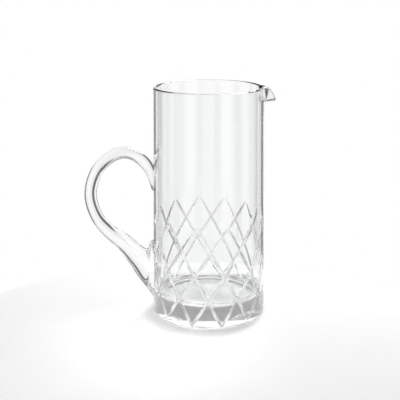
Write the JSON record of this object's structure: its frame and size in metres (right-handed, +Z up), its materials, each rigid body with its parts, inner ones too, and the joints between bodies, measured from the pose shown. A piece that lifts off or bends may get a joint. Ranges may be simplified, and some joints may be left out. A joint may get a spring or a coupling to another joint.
{
  "type": "glass jug",
  "caption": "Clear glass jug with a heavy base, straight wall, pulled pouring lip, cut diamond lattice on the lower wall and a loop handle stuck on hot, for pouring drinks.",
  "frame": {"origin": "middle of the flat base, on the axis of the body", "axes": "+Z up along the body's axis, +X towards the pouring lip, -X towards the handle"},
  "size_m": [0.1622, 0.098, 0.1965],
  "materials": {
    "body_glass": "polished clear glass with cut grooves",
    "handle_glass": "fire-polished clear glass"
  },
  "bodies": {
    "root": {"jug_body": "body_glass", "handle": "handle_glass"}
  },
  "joints": []
}
